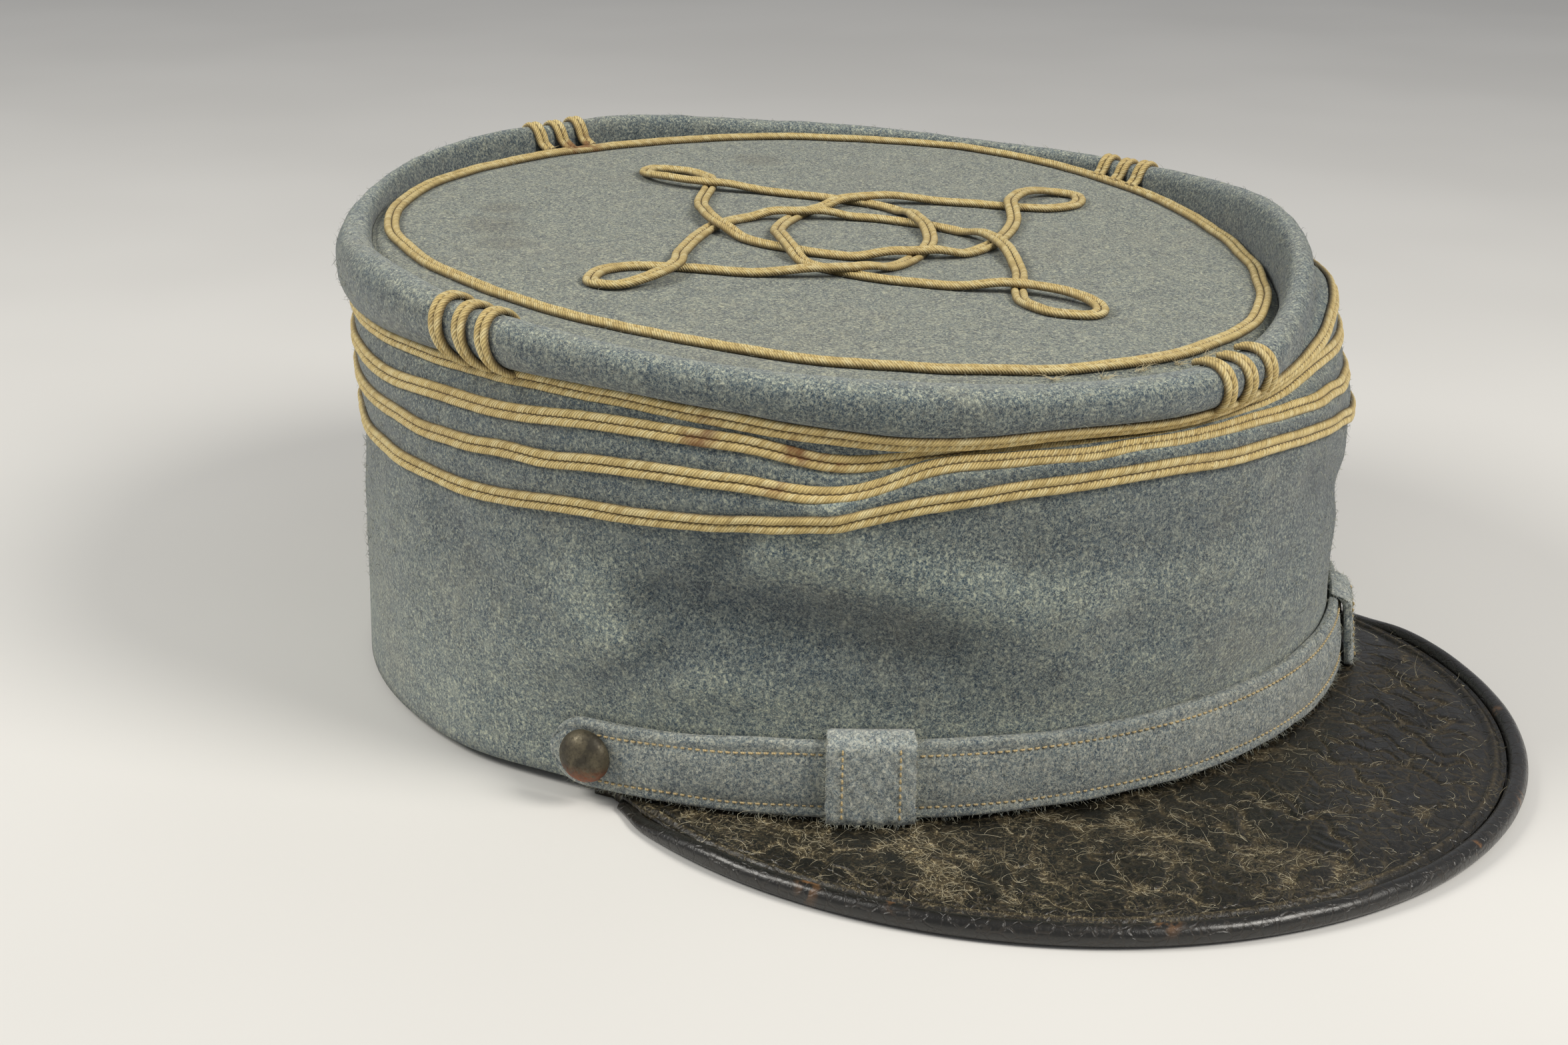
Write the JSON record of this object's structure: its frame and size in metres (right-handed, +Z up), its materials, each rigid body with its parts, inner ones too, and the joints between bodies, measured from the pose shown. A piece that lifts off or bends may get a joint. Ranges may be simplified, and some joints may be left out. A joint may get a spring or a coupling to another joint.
{
  "type": "kepi",
  "caption": "Soft wool kepi with a recessed oval top, a braid knot, braid rows, a cloth chin strap with buttons and a flat leather peak.",
  "frame": {"origin": "under the middle of the whole cap, on the surface it stands on", "axes": "+Z up, -Y out over the peak (the cap's front), +X to the wearer's left"},
  "size_m": [0.187, 0.2322, 0.085],
  "materials": {
    "wool": "fuzzy blue-grey wool cloth",
    "braid": "silky tan twisted braid",
    "leather": "cracked black glazed leather",
    "button_metal": "dull brown tarnish"
  },
  "bodies": {
    "root": {"crown_wall": "wool", "crown_top": "wool", "chin_strap": "wool", "strap_loop_right": "wool", "strap_loop_left": "wool", "top_ring_braid": "braid", "crown_knot": "braid", "row_braid_1": "braid", "row_braid_2": "braid", "row_braid_3": "braid", "row_braid_4": "braid", "front_braid_1": "braid", "front_braid_2": "braid", "front_braid_3": "braid", "left_braid_1": "braid", "left_braid_2": "braid", "left_braid_3": "braid", "back_braid_1": "braid", "back_braid_2": "braid", "back_braid_3": "braid", "right_braid_1": "braid", "right_braid_2": "braid", "right_braid_3": "braid", "button_right": "button_metal", "button_left": "button_metal", "peak": "leather", "peak_binding": "leather"}
  },
  "joints": []
}
